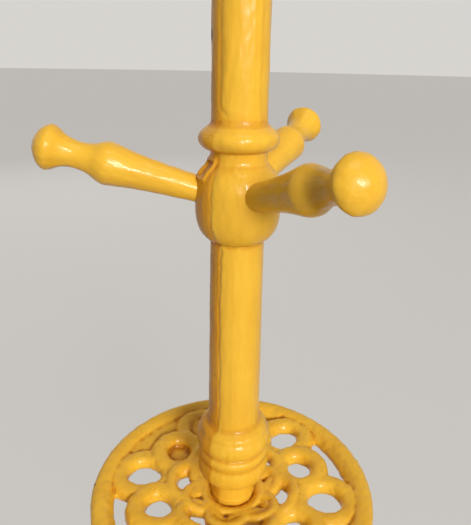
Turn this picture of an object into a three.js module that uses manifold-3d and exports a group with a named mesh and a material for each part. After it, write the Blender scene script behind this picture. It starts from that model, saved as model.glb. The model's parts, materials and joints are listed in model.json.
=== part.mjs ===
// A standing coat rack: a cast base, turned post sections with beads, ball hubs and pegs, and a pierced
// rosette disc clamped between two sections. Millimetres, +Z up, origin on the floor under the post.

import * as THREE from 'three';
import { mergeVertices } from 'three/addons/utils/BufferGeometryUtils.js';
import Module from 'manifold-3d';

const wasm = await Module();
wasm.setup();

// ---- Driving dimensions -------------------------------------------------------------------------

const GAP = 0.3;                     // air kept between two pieces that touch
const CLEAR = 1;                     // how far a drill runs past the face that it opens

const PAD_RADIUS = 14;
const PAD_HEIGHT = 8;
const PAD_COUNT = 3;
const PAD_INSET = 17;                // pad centre, in from the base's edge

const BASE_RADIUS = 200;
const BASE_RIM_WIDTH = 30;
const BASE_RIM_HEIGHT = 15;
const BASE_RIM_BEVEL = 2;
const BASE_WALL = 7;
const BASE_DOME_RISE = 34;           // dome's height above the valley inside the rim
const BASE_BOSS_RADIUS = 34;
const BASE_BOSS_HEIGHT = 9;
const BASE_BOSS_BEVEL = 3;
const BASE_PETALS = 6;
const BASE_PETAL_RING = 112;         // distance of the raised rings from the axis
const BASE_PETAL_RADIUS = 36;
const BASE_PETAL_TUBE = 9;
const BASE_PETAL_FLATNESS = 0.5;
const BASE_PETAL_LIFT = 1.5;         // ring's middle above the dome

const DISC_HEIGHT = 470;             // disc's rim above the floor
const DISC_RADIUS = 130;
const RIM_WIDTH = 20;
const RIM_CREST = 3;                 // above the rim plane, where the disc is widest
const RIM_EDGE = 3;                  // chamfer under the rim
const RIM_LEDGE = 4;                 // where the rim's inner slope crosses its plane
const DISC_BACK = -12;               // the casting's flat back, below the rim plane
const ROSETTE_FOLD = 6;
const ROSETTE_TURN = -9;             // degrees from +X to the first outer petal
const BOSS_RADIUS = 30;
const BOSS_TOP = -4;                 // from the disc's rim plane
const BOSS_BACK = -17;               // the boss stands proud of the flat back
const BOSS_BEVEL = 3;
const BOSS_BEVEL_DROP = 2;
const SEAT_DEPTH = 6;                // recess that takes a neck

// Rows of ring petals from the rim inwards, laid like shingles: each ring's outer end is raised and lies
// over the row outside it. As shares of the disc's radius: out, ring centre from the axis; reach and span,
// the ring's half sizes along and across the radius; tube. top: height of the ring's crest over its
// centre, as a share of the rim's crest; tilt in degrees.
const PETAL_ROWS = [
  { out: 0.669, reach: 0.192, span: 0.171, tube: 0.069, top: -0.17, tilt: 2, turn: 0, steps: 14 },
  { out: 0.548, reach: 0.156, span: 0.162, tube: 0.069, top: 0, tilt: 4, turn: 0.5, steps: 12 },
  { out: 0.348, reach: 0.102, span: 0.16, tube: 0.045, top: -0.17, tilt: 7, turn: 0, steps: 12 },
  { out: 0.279, reach: 0.07, span: 0.077, tube: 0.042, top: -0.9, tilt: 14, turn: 0.5, steps: 8 },
];

// One stretch of the rosette was cast blind: a thin web on its back closes these openings.
const WEB_FROM = 98;                 // degrees from +X
const WEB_TO = 158;
const WEB_INNER = 56;
const WEB_THICKNESS = 2.5;

const NECK_RADIUS = 19.5;
const BEAD_RADIUS = 32.5;
const BEAD_ROOT = 24.5;
const NECK_LENGTH = 18;              // neck showing above its seat
const LOW_BEAD = 32;                 // heights of the two foot beads
const HIGH_BEAD = 25;
const HIGH_BEAD_HALF = 12.5;         // half of the upper bead's roundness
const SHOULDER = 4;                  // upper bead's slope into the post
const SHOULDER_FLARE = 1.2;

const LOWER_POST_FOOT = 23.5;        // post radii, bottom and top of each section
const LOWER_POST_HEAD = 22;
const LOWER_HEAD_BEAD = 16;
const LOWER_HEAD_INSET = 3;          // how much slimmer than a foot bead
const LOWER_HEAD_FLARE = 1.5;
const LOWER_HEAD_SLOPE = 8;
const LOW_POST_FOOT = 21.6;
const LOW_POST_HEAD = 20;
const MID_POST_FOOT = 19.5;
const MID_POST_HEAD = 18.5;
const TOP_POST_FOOT = 18.2;
const TOP_POST_HEAD = 16.8;

const HUB_PITCH = 440;               // from one tier of pegs to the next
const HUB_HEIGHT = 274;              // lowest hub's middle above the disc's rim
const HUB_RADIUS = 31.3;
const HUB_HALF = 32.2;               // half of the ball's height before the posts cut it
const HUB_SQUARENESS = 3;            // 2 is an ellipse, more is a barrel
const HUB_TOP = 31;                  // from the hub's middle to its upper shoulder
const GROOVE_RADIUS = 20.7;
const GROOVE_LENGTH = 7.5;
const COLLAR_RADIUS = 29.2;
const COLLAR_ROOT = 22;
const COLLAR_HEIGHT = 15;
const COLLAR_SLOPE = 5;
const COLLAR_FLARE = 1.5;

const PEG_ROOT_OUT = 31.3;           // from the post's axis to where a peg shows
const PEG_CROSSING = 0.8;            // where peg and post axes cross, above the hub's middle
const PEG_ROOT = 9.8;
const PEG_KNOB = 16.6;               // the knob's crest, where its flare turns into the round end
const PEG_KNOB_AT = 108.5;
const PEG_CAP = 12;                  // length of the round end
const SOCKET_DEPTH = 15;

// A peg's outline from its taper to the knob's flare: distance from the root as a share of the knob's
// place, and radius as a share of the knob's.
const PEG_OUTLINE = [
  [0.138, 0.627], [0.35, 0.729], [0.571, 0.904], [0.622, 0.958], [0.664, 0.873], [0.719, 0.699],
  [0.793, 0.602], [0.848, 0.602], [0.894, 0.663], [0.954, 0.867],
];

// Sockets drilled by hand: degrees round from the front towards +X, and degrees of rise.
const PEG_TIERS = [
  { name: 'low', azimuths: [-87.7, 26.7, 153.1], rises: [15.6, 17, 17.5] },
  { name: 'middle', azimuths: [-30, 90, -150], rises: [16, 16, 16] },
  { name: 'top', azimuths: [-90, 30, 150], rises: [16, 16, 16] },
];

const FINIAL_BALL = 23;
const FINIAL_NECK = 12.5;
const FINIAL_STRETCH = 1.1;          // ball's height over its width

const ROD_RADIUS = 6;                // threaded rod through the disc
const ROD_REACH = 55;                // into the section on each side
const DOWEL_RADIUS = 5;              // screws between sections
const DOWEL_REACH = 26;
const BOLT_RADIUS = 6;
const BOLT_REACH = 60;
const BOLT_HEAD = 10.4;              // across corners, halved
const BOLT_HEAD_HEIGHT = 7.5;
const WASHER_RADIUS = 17;
const WASHER_HEIGHT = 2.5;
const INSERT_RADIUS = 9;
const INSERT_LENGTH = 25;

const POST_SIDES = 20;
const PEG_SIDES = 12;
const DISC_SIDES = 36;
const BASE_SIDES = 32;
const PETAL_SIDES = 6;
const RAISED_RING_SIDES = 4;

// ---- Heights that follow ------------------------------------------------------------------------

const BASE_VALLEY = PAD_HEIGHT + BASE_WALL;
const BASE_TOP = BASE_VALLEY + BASE_DOME_RISE + BASE_BOSS_HEIGHT;
const BASE_SEAT = BASE_TOP - SEAT_DEPTH;
const BASE_CEILING = BASE_TOP - BASE_BOSS_HEIGHT - BASE_WALL;
const DISC_UNDERSIDE = DISC_HEIGHT + BOSS_BACK;
const DISC_SEAT = DISC_HEIGHT + BOSS_TOP - SEAT_DEPTH;
const SECTION_TOP = HUB_HEIGHT + HUB_TOP + GROOVE_LENGTH / 2;   // above the disc's rim

// ---- Helpers ------------------------------------------------------------------------------------

const radians = THREE.MathUtils.degToRad;
const point = (radius, height) => new THREE.Vector2(radius, height);

// A closed three.js geometry as a manifold solid: shared corners merged, empty triangles dropped.
function solid(geometry) {
  const bare = geometry.clone();
  bare.deleteAttribute('normal');
  bare.deleteAttribute('uv');
  const merged = mergeVertices(bare, 1e-4);
  const corners = merged.index.array;
  const kept = [];
  for (let i = 0; i < corners.length; i += 3) {
    const [a, b, c] = [corners[i], corners[i + 1], corners[i + 2]];
    if (a !== b && b !== c && c !== a) kept.push(a, b, c);
  }
  return new wasm.Manifold(new wasm.Mesh({
    numProp: 3,
    vertProperties: Float32Array.from(merged.attributes.position.array),
    triVerts: Uint32Array.from(kept),
  }));
}

function toGeometry(body) {
  const mesh = body.getMesh();
  const geometry = new THREE.BufferGeometry();
  geometry.setAttribute('position', new THREE.BufferAttribute(mesh.vertProperties, 3));
  geometry.setIndex(new THREE.BufferAttribute(mesh.triVerts, 1));
  geometry.computeVertexNormals();
  return geometry;
}

function piece(name, body, material) {
  const mesh = new THREE.Mesh(toGeometry(body), material);
  mesh.name = name;
  return mesh;
}

// A profile of (radius, height) points turned about the Z axis.
function turned(profile, sides) {
  const geometry = new THREE.LatheGeometry(profile, sides);
  geometry.rotateX(Math.PI / 2);
  return solid(geometry);
}

function rod(radius, low, high, sides = PEG_SIDES) {
  return turned([point(0, low), point(radius, low), point(radius, high), point(0, high)], sides);
}

// Part of an ellipse round (0, middle), set out from the radius "root"; angles from the outermost point.
function swell(root, crown, middle, half, from, to, steps) {
  const points = [];
  for (let i = 0; i <= steps; i++) {
    const angle = radians(from + (to - from) * i / steps);
    points.push(point(root + (crown - root) * Math.cos(angle), middle + half * Math.sin(angle)));
  }
  return points;
}

function bead(root, crown, low, height) {
  return swell(root, crown, low + height / 2, height / 2, -90, 90, 4);
}

// The double bead at a section's foot, with the shoulder that runs up into a post of this radius.
function footBeads(low, postRadius) {
  const joint = low + LOW_BEAD;
  const top = joint + HIGH_BEAD;
  return [
    ...bead(BEAD_ROOT, BEAD_RADIUS, low, LOW_BEAD),
    ...swell(BEAD_ROOT, BEAD_RADIUS, joint + HIGH_BEAD_HALF, HIGH_BEAD_HALF, -75, 50, 4),
    point(postRadius + SHOULDER_FLARE, top),
    point(postRadius, top + SHOULDER),
  ];
}

// A hub: r = R (1 - |z/h|^n)^(1/n), cut off where it meets the post below and the groove above.
function hub(middle, postRadius, steps = 8) {
  const edge = (radius) => HUB_HALF * (1 - (radius / HUB_RADIUS) ** HUB_SQUARENESS) ** (1 / HUB_SQUARENESS);
  const low = -edge(postRadius);
  const high = edge(GROOVE_RADIUS);
  const points = [];
  for (let i = 0; i <= steps; i++) {
    const turn = -Math.cos(Math.PI * i / steps);
    const z = (low + high) / 2 + turn * (high - low) / 2;
    const radius = HUB_RADIUS * (1 - Math.abs(z / HUB_HALF) ** HUB_SQUARENESS) ** (1 / HUB_SQUARENESS);
    points.push(point(radius, middle + z));
  }
  return points;
}

// The collar bead that starts a section above a hub: groove, bead, sloping shoulder, post.
function collar(low, postRadius) {
  const foot = low + GROOVE_LENGTH / 2;
  return [
    point(GROOVE_RADIUS, low),
    point(GROOVE_RADIUS, foot),
    ...swell(COLLAR_ROOT, COLLAR_RADIUS, foot + COLLAR_HEIGHT / 2, COLLAR_HEIGHT / 2, -90, 45, 4),
    point(postRadius + COLLAR_FLARE, foot + COLLAR_HEIGHT + COLLAR_SLOPE / 2),
    point(postRadius, foot + COLLAR_HEIGHT + COLLAR_SLOPE),
  ];
}

// Where a peg stands: Z along its axis, origin where it leaves the hub at this height.
function pegFrame(hubHeight, azimuth, rise) {
  return new THREE.Matrix4()
    .makeTranslation(0, 0, hubHeight + PEG_CROSSING)
    .multiply(new THREE.Matrix4().makeRotationZ(radians(azimuth)))
    .multiply(new THREE.Matrix4().makeRotationX(radians(90 - rise)))
    .multiply(new THREE.Matrix4().makeTranslation(0, 0, PEG_ROOT_OUT));
}

function withSockets(body, hubHeight, tier) {
  return tier.azimuths.reduce((left, azimuth, i) => {
    const hole = new THREE.CylinderGeometry(PEG_ROOT + GAP, PEG_ROOT + GAP, SOCKET_DEPTH * 2, PEG_SIDES);
    hole.rotateX(Math.PI / 2);
    hole.translate(0, 0, -GAP);
    hole.applyMatrix4(pegFrame(hubHeight, azimuth, tier.rises[i]));
    return left.subtract(solid(hole));
  }, body);
}

// ---- Finishes -----------------------------------------------------------------------------------

const enamelledIron = () => new THREE.MeshStandardMaterial({ color: 0xe9ae38, roughness: 0.3 });
const enamelledWood = () => new THREE.MeshStandardMaterial({ color: 0xeeb33c, roughness: 0.28 });
const steel = () => new THREE.MeshStandardMaterial({ color: 0x9a9a98, roughness: 0.4, metalness: 1 });
const brass = () => new THREE.MeshStandardMaterial({ color: 0xb08d4a, roughness: 0.4, metalness: 1 });
const rubber = () => new THREE.MeshStandardMaterial({ color: 0x262422, roughness: 0.8 });

// ---- Base ---------------------------------------------------------------------------------------

// Dome: height falls from the boss to the valley as half a cosine wave.
function domeHeight(radius, drop) {
  const inner = BASE_BOSS_RADIUS;
  const outer = BASE_RADIUS - BASE_RIM_WIDTH;
  const share = (radius - inner) / (outer - inner);
  return BASE_VALLEY - drop + BASE_DOME_RISE * (1 + Math.cos(Math.PI * share)) / 2;
}

function domeLine(from, to, drop, steps) {
  return Array.from({ length: steps + 1 }, (_, i) => {
    const radius = from + (to - from) * i / steps;
    return point(radius, domeHeight(radius, drop));
  });
}

function makeBase() {
  const rimInner = BASE_RADIUS - BASE_RIM_WIDTH;
  const rimMiddle = BASE_RADIUS - BASE_RIM_WIDTH / 2;
  const profile = [
    ...domeLine(BASE_BOSS_RADIUS, rimInner, BASE_WALL, 4),
    point(rimInner, PAD_HEIGHT),
    point(BASE_RADIUS - BASE_RIM_BEVEL, PAD_HEIGHT),
    point(BASE_RADIUS, PAD_HEIGHT + BASE_RIM_HEIGHT / 3),
    ...swell(0, BASE_RIM_WIDTH / 2, 0, 1, 30, 150, 3).map(
      (p) => point(rimMiddle + p.x, PAD_HEIGHT + BASE_RIM_HEIGHT * (0.4 + 0.6 * p.y))),
    ...domeLine(rimInner - GAP, BASE_BOSS_RADIUS + BASE_BOSS_BEVEL, 0, 5),
    point(BASE_BOSS_RADIUS, BASE_TOP - BASE_BOSS_BEVEL),
    point(BASE_BOSS_RADIUS - BASE_BOSS_BEVEL, BASE_TOP),
    point(NECK_RADIUS + GAP, BASE_TOP),
    point(NECK_RADIUS + GAP, BASE_SEAT),
    point(BOLT_RADIUS + GAP, BASE_SEAT),
    point(BOLT_RADIUS + GAP, BASE_CEILING),
    point(BASE_BOSS_RADIUS, BASE_CEILING),
  ];
  const fall = domeHeight(BASE_PETAL_RING - BASE_PETAL_RADIUS, 0)
    - domeHeight(BASE_PETAL_RING + BASE_PETAL_RADIUS, 0);
  const petals = Array.from({ length: BASE_PETALS }, (_, i) => {
    const petal = new THREE.TorusGeometry(BASE_PETAL_RADIUS, BASE_PETAL_TUBE, RAISED_RING_SIDES, 14);
    petal.scale(1, 1, BASE_PETAL_FLATNESS);
    petal.rotateY(Math.atan2(fall, 2 * BASE_PETAL_RADIUS));
    petal.translate(BASE_PETAL_RING, 0, domeHeight(BASE_PETAL_RING, 0) + BASE_PETAL_LIFT);
    petal.rotateZ(radians(ROSETTE_TURN + i * 360 / BASE_PETALS));
    return solid(petal);
  });
  const dome = petals.reduce((body, petal) => body.add(petal), turned(profile, BASE_SIDES));
  return piece('base_casting', dome, enamelledIron());
}

function makePads() {
  const out = BASE_RADIUS - PAD_INSET;
  return Array.from({ length: PAD_COUNT }, (_, i) => {
    const angle = radians(90 + i * 360 / PAD_COUNT);
    const pad = piece(`foot_pad_${i + 1}`, rod(PAD_RADIUS, 0, PAD_HEIGHT - GAP), rubber());
    pad.position.set(out * Math.cos(angle), out * Math.sin(angle), 0);
    return pad;
  });
}

function makeBaseBolt() {
  const headTop = BASE_CEILING - WASHER_HEIGHT - 2 * GAP;
  const shank = rod(BOLT_RADIUS, headTop - CLEAR, BASE_SEAT + BOLT_REACH);
  const bolt = shank.add(rod(BOLT_HEAD, headTop - BOLT_HEAD_HEIGHT, headTop, 6));
  const washer = rod(WASHER_RADIUS, headTop + GAP, BASE_CEILING - GAP, 24)
    .subtract(rod(BOLT_RADIUS + GAP, headTop, BASE_CEILING));
  const low = BASE_SEAT + 2 * GAP;
  const insert = rod(INSERT_RADIUS, low, low + INSERT_LENGTH)
    .subtract(rod(BOLT_RADIUS + GAP, low - CLEAR, low + INSERT_LENGTH + CLEAR));
  return [
    piece('base_bolt', bolt, steel()),
    piece('base_washer', washer, steel()),
    piece('post_insert', insert, brass()),
  ];
}

// ---- Posts --------------------------------------------------------------------------------------

function makeLowerPost() {
  const foot = BASE_SEAT + GAP;
  const head = DISC_UNDERSIDE - GAP;
  const neckTop = BASE_TOP + NECK_LENGTH;
  const headBead = head - LOWER_HEAD_BEAD;
  const profile = [
    point(0, foot),
    point(NECK_RADIUS, foot),
    point(NECK_RADIUS, neckTop),
    ...footBeads(neckTop, LOWER_POST_FOOT),
    point(LOWER_POST_HEAD, headBead - LOWER_HEAD_SLOPE),
    point(LOWER_POST_HEAD + LOWER_HEAD_FLARE, headBead),
    ...bead(BEAD_ROOT, BEAD_RADIUS - LOWER_HEAD_INSET, headBead, LOWER_HEAD_BEAD),
    point(0, head),
  ];
  const body = turned(profile, POST_SIDES)
    .subtract(rod(INSERT_RADIUS + GAP, foot - CLEAR, foot + INSERT_LENGTH + 2 * GAP))
    .subtract(rod(BOLT_RADIUS + GAP, foot, BASE_SEAT + BOLT_REACH + GAP))
    .subtract(rod(ROD_RADIUS + GAP, DISC_UNDERSIDE - ROD_REACH - GAP, head + CLEAR));
  return piece('lower_post', body, enamelledWood());
}

// The section that stands in the disc: neck, two beads, post and the lowest hub.
function makeLowSection() {
  const foot = DISC_SEAT - DISC_HEIGHT + GAP;
  const neckTop = NECK_LENGTH;
  const profile = [
    point(0, foot),
    point(NECK_RADIUS, foot),
    point(NECK_RADIUS, neckTop),
    ...footBeads(neckTop, LOW_POST_FOOT),
    ...hub(HUB_HEIGHT, LOW_POST_HEAD),
    point(GROOVE_RADIUS, SECTION_TOP),
    point(0, SECTION_TOP),
  ];
  const body = turned(profile, POST_SIDES)
    .subtract(rod(ROD_RADIUS + GAP, foot - CLEAR, foot + ROD_REACH))
    .subtract(rod(DOWEL_RADIUS + GAP, SECTION_TOP - DOWEL_REACH - GAP, SECTION_TOP + CLEAR));
  const section = piece('low_section', withSockets(body, HUB_HEIGHT, PEG_TIERS[0]), enamelledWood());
  section.position.z = DISC_HEIGHT;
  return section;
}

// A section that stands on a hub and carries the next one, one pitch higher.
function makeUpperSection(name, tierIndex, footRadius, headRadius) {
  const foot = SECTION_TOP - HUB_PITCH + GAP;
  const profile = [
    point(0, foot),
    ...collar(foot, footRadius),
    ...hub(HUB_HEIGHT, headRadius),
    point(GROOVE_RADIUS, SECTION_TOP),
    point(0, SECTION_TOP),
  ];
  const body = turned(profile, POST_SIDES)
    .subtract(rod(DOWEL_RADIUS + GAP, foot - CLEAR, foot + DOWEL_REACH + GAP))
    .subtract(rod(DOWEL_RADIUS + GAP, SECTION_TOP - DOWEL_REACH - GAP, SECTION_TOP + CLEAR));
  const section = piece(name, withSockets(body, HUB_HEIGHT, PEG_TIERS[tierIndex]), enamelledWood());
  section.position.z = DISC_HEIGHT + tierIndex * HUB_PITCH;
  return section;
}

function makeFinial() {
  const foot = SECTION_TOP + GAP;
  const neck = foot + GROOVE_LENGTH / 2 + COLLAR_HEIGHT + COLLAR_SLOPE;
  const body = turned([
    point(0, foot),
    ...collar(foot, FINIAL_NECK),
    ...swell(0, FINIAL_BALL, neck + FINIAL_BALL, FINIAL_BALL * FINIAL_STRETCH, -57, 90, 9),
  ], POST_SIDES).subtract(rod(DOWEL_RADIUS + GAP, foot - CLEAR, foot + DOWEL_REACH + GAP));
  const finial = piece('finial', body, enamelledWood());
  finial.position.z = DISC_HEIGHT + (PEG_TIERS.length - 1) * HUB_PITCH;
  return finial;
}

function makeRods() {
  const through = rod(ROD_RADIUS, DISC_UNDERSIDE - ROD_REACH, DISC_SEAT + ROD_REACH - GAP);
  const dowels = PEG_TIERS.map((tier, i) => {
    const dowel = piece(`${tier.name}_hub_screw`, rod(DOWEL_RADIUS, -DOWEL_REACH, DOWEL_REACH), steel());
    dowel.position.z = DISC_HEIGHT + SECTION_TOP + i * HUB_PITCH;
    return dowel;
  });
  return [piece('disc_rod', through, steel()), ...dowels];
}

// ---- Rosette disc -------------------------------------------------------------------------------

// Rim: a thick rolled edge, widest at the rim plane, whose inner face slopes down to the petals.
function makeRim() {
  const inner = DISC_RADIUS - RIM_WIDTH;
  return turned([
    point(inner, DISC_BACK),
    point(DISC_RADIUS - RIM_EDGE, DISC_BACK),
    point(DISC_RADIUS, DISC_BACK * 0.6),
    point(DISC_RADIUS, DISC_BACK * 0.1),
    point(DISC_RADIUS - RIM_WIDTH * 0.22, RIM_CREST * 0.85),
    point(DISC_RADIUS - RIM_WIDTH * 0.5, RIM_CREST),
    point(inner + RIM_LEDGE, 0),
    point(inner, DISC_BACK * 0.4),
    point(inner, DISC_BACK),
  ], DISC_SIDES);
}

function makeBoss() {
  return turned([
    point(ROD_RADIUS + GAP, BOSS_BACK),
    point(BOSS_RADIUS, BOSS_BACK),
    point(BOSS_RADIUS, BOSS_TOP - BOSS_BEVEL_DROP),
    point(BOSS_RADIUS - BOSS_BEVEL, BOSS_TOP),
    point(NECK_RADIUS + GAP, BOSS_TOP),
    point(NECK_RADIUS + GAP, BOSS_TOP - SEAT_DEPTH),
    point(ROD_RADIUS + GAP, BOSS_TOP - SEAT_DEPTH),
    point(ROD_RADIUS + GAP, BOSS_BACK),
  ], POST_SIDES);
}

// One row of rings, each the upper half of a torus that stands on the casting's flat back.
function makeRow(row) {
  const pitch = 360 / ROSETTE_FOLD;
  const crown = Math.sin(Math.PI / 3);   // a six-sided tube's highest corners, over its radius
  return Array.from({ length: ROSETTE_FOLD }, (_, i) => {
    const tube = row.tube * DISC_RADIUS;
    const petal = new THREE.TorusGeometry(row.reach * DISC_RADIUS, tube, PETAL_SIDES, row.steps);
    petal.scale(1, row.span / row.reach, (row.top * RIM_CREST - DISC_BACK) / (tube * crown));
    petal.rotateY(radians(-row.tilt));
    petal.translate(row.out * DISC_RADIUS, 0, DISC_BACK);
    petal.rotateZ(radians(ROSETTE_TURN + (i + row.turn) * pitch));
    return solid(petal).trimByPlane([0, 0, 1], DISC_BACK);
  });
}

function makeWeb() {
  const shape = new THREE.Shape();
  shape.absarc(0, 0, DISC_RADIUS - RIM_WIDTH / 2, radians(WEB_FROM), radians(WEB_TO), false);
  shape.absarc(0, 0, WEB_INNER, radians(WEB_TO), radians(WEB_FROM), true);
  const web = new THREE.ExtrudeGeometry(shape, {
    depth: WEB_THICKNESS, bevelEnabled: false, curveSegments: 5,
  });
  web.translate(0, 0, DISC_BACK);
  return solid(web);
}

function makeDisc() {
  const seat = rod(NECK_RADIUS + GAP, BOSS_TOP - SEAT_DEPTH, BOSS_TOP + RIM_WIDTH, POST_SIDES);
  const petals = wasm.Manifold.union(PETAL_ROWS.flatMap(makeRow));
  const body = makeRim().add(petals.subtract(seat)).add(makeBoss()).add(makeWeb());
  const disc = piece('rosette_disc', body, enamelledIron());
  disc.position.z = DISC_HEIGHT;
  return disc;
}

// ---- Pegs ---------------------------------------------------------------------------------------

// A turned peg along +Z from where it leaves the hub, with the round end that fills its socket.
function pegBody() {
  return turned([
    point(0, -SOCKET_DEPTH),
    point(PEG_ROOT, -SOCKET_DEPTH),
    point(PEG_ROOT, 0),
    ...PEG_OUTLINE.map(([along, radius]) => point(PEG_KNOB * radius, PEG_KNOB_AT * along)),
    ...swell(0, PEG_KNOB, PEG_KNOB_AT, PEG_CAP, 0, 90, 4),
  ], PEG_SIDES);
}

function makePegs() {
  const body = pegBody();
  return PEG_TIERS.flatMap((tier, level) => tier.azimuths.map((azimuth, i) => {
    const peg = piece(`${tier.name}_peg_${i + 1}`, body, enamelledWood());
    peg.applyMatrix4(pegFrame(DISC_HEIGHT + HUB_HEIGHT + level * HUB_PITCH, azimuth, tier.rises[i]));
    return peg;
  }));
}

// ---- Assembly -----------------------------------------------------------------------------------

const rack = new THREE.Group();
rack.add(
  makeBase(),
  ...makePads(),
  ...makeBaseBolt(),
  makeLowerPost(),
  makeDisc(),
  makeLowSection(),
  makeUpperSection('middle_section', 1, MID_POST_FOOT, MID_POST_HEAD),
  makeUpperSection('top_section', 2, TOP_POST_FOOT, TOP_POST_HEAD),
  makeFinial(),
  ...makeRods(),
  ...makePegs(),
);

export default rack;
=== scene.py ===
"""Looks of the standing coat rack: enamelled castings, turned posts and pegs round the frame."""

import json
import math

import bpy
import numpy as np
from bpy.props import FloatProperty, FloatVectorProperty, PointerProperty
from bpy.types import Operator, Panel, PropertyGroup
from mathutils import Matrix, Vector

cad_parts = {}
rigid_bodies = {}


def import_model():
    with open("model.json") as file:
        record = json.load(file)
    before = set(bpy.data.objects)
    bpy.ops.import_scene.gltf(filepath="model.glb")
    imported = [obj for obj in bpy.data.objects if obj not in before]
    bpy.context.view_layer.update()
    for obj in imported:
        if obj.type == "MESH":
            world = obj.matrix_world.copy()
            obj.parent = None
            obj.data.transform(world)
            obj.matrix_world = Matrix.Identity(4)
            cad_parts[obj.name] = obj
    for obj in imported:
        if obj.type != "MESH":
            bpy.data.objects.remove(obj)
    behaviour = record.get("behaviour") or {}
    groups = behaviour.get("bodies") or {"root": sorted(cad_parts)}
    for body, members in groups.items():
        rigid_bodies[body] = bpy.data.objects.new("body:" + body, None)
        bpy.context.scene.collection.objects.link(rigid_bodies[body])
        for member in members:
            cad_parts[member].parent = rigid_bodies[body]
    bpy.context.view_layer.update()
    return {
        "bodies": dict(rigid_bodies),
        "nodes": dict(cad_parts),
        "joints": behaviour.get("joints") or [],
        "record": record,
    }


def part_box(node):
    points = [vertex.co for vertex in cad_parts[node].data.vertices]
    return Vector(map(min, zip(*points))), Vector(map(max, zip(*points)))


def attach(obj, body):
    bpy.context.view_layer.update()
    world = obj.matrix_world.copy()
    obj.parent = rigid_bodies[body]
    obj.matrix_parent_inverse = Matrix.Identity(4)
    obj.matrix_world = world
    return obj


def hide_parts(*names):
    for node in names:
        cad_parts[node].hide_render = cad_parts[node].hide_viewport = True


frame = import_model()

bl_info = {
    "name": "Coat Rack Dresser",
    "version": (1, 0, 0),
    "blender": (4, 5, 0),
    "location": "3D View > Sidebar > Coat Rack",
    "description": "Turned posts, pegs and pierced castings of an enamelled coat rack",
    "category": "Object",
}

MM = 0.001
BODY = "root"


# ---- Sizes and colours ----

def length(label, millimetres, about):
    """A length property in metres, given here in millimetres."""
    return FloatProperty(name=label, description=about, default=millimetres * MM,
                         unit="LENGTH", precision=4)


def colour(label, rgb, about):
    """A colour property, linear."""
    return FloatVectorProperty(name=label, description=about, default=rgb, size=3,
                               subtype="COLOR", min=0.0, max=1.0)


class RackSizes(PropertyGroup):
    """Radii and heights of the turned and cast forms; the frame gives where each piece stands."""
    neck_radius: length("Neck radius", 19.5, "Neck that plugs into a casting")
    neck_length: length("Neck length", 18, "Neck that shows above its seat")
    bead_radius: length("Bead radius", 32.6, "Widest of the lobes at a section's foot")
    hub_radius: length("Hub radius", 31.9, "Hub's widest radius")
    hub_half: length("Hub half height", 32.2, "Half of the hub's height")
    hub_top: length("Hub top", 31, "From the hub's middle to its upper shoulder")
    groove_radius: length("Groove radius", 20.7, "Groove between hub and collar")
    groove_length: length("Groove length", 7.5, "Height of that groove")
    collar_radius: length("Collar radius", 29.2, "Collar bead above a hub")
    collar_height: length("Collar height", 15, "Height of that bead")
    peg_length: length("Peg length", 120.5, "Peg from hub to tip")
    peg_knob: length("Peg knob", 16.6, "Knob's crest")
    rim_width: length("Rim width", 20, "Rolled rim of the disc")
    rim_crest: length("Rim crest", 3, "Rim's crest over the height where it is widest")
    disc_depth: length("Disc depth", 17, "From the boss's back to where the rim is widest")
    disc_back: length("Disc back", 12, "From the rosette's flat back to where the rim is widest")
    boss_radius: length("Boss radius", 30, "Ring round the recess that takes a neck")
    boss_drop: length("Boss drop", 4, "From where the rim is widest down to the boss's ring")
    seam_width: length("Seam width", 1.2, "Line where the post's halves meet")
    seam_depth: length("Seam depth", 0.53, "Depth of that line")
    base_rim: length("Base rim", 30, "Width of the base's rolled rim")
    base_boss: length("Base boss", 34, "Radius of the base's boss")
    base_rise: length("Base rise", 34, "Height of the dome above the valley inside the rim")
    base_wall: length("Base wall", 7, "Thickness of the dome")
    voxel: length("Casting grain", 1.22, "Cell of the joined casting's surface")


class RackFinish(PropertyGroup):
    """Colours of the rack's surfaces, linear."""
    enamel: colour("Enamel", (0.83, 0.476, 0.038), "Mustard enamel")
    # Deep enamel, also mixed in as painted shade in creases, wider valleys and on the left flank
    enamel_deep_and_shade: colour("Deep enamel", (0.6, 0.235, 0.004), "Enamel where it pools")
    grime: colour("Grime", (0.16, 0.052, 0.008), "Dirt in pits and creases")
    steel: colour("Steel", (0.46, 0.46, 0.45), "Bolts and rods")
    brass: colour("Brass", (0.45, 0.29, 0.08), "Threaded insert")
    rubber: colour("Rubber", (0.012, 0.011, 0.01), "Foot pads")
    dust: colour("Dust", (0.09, 0.085, 0.075), "Dust on the pads")
    floor: colour("Floor", (0.32, 0.302, 0.285), "Studio floor")
    air: colour("Air", (0.68, 0.66, 0.63), "Pale air round the stage")
    daylight: colour("Daylight", (1.0, 0.88, 0.72), "Light that the air gives")


# ---- Surfaces ----

ON_AXIS = 0.01 * MM         # a smaller radius is on the axis
SHARP_EDGE = 70             # degrees; a sharper edge isn't shaded smooth


def ripple(points, wavelength, seed, waves=14, spread=(0.7, 1.4)):
    """Random swell of about -1 to 1: sine waves in random directions, each the wavelength times a
    share from the spread, added up and divided by the root of their count."""
    rng = np.random.default_rng(seed)
    ways = rng.normal(size=(waves, 3))
    lengths = wavelength * rng.uniform(*spread, waves)
    ways /= np.linalg.norm(ways, axis=1)[:, None] * lengths[:, None]
    phases = rng.uniform(0, 2 * np.pi, waves)
    return np.sin(points @ ways.T * 2 * np.pi + phases).sum(-1) / math.sqrt(waves)


def bump(distance, width):
    """Bell curve: exp(-(d / w)^2)."""
    return np.exp(-(distance / width) ** 2)


def step(value, low, high):
    """Smooth step from 0 at low to 1 at high: 3t^2 - 2t^3."""
    t = np.clip((value - low) / (high - low), 0, 1)
    return t * t * (3 - 2 * t)


def shelf(distance, rise, fall):
    """Steps up over one range and down over another, both given in millimetres."""
    return (step(distance, rise[0] * MM, rise[1] * MM)
            * (1 - step(distance, fall[0] * MM, fall[1] * MM)))


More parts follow.
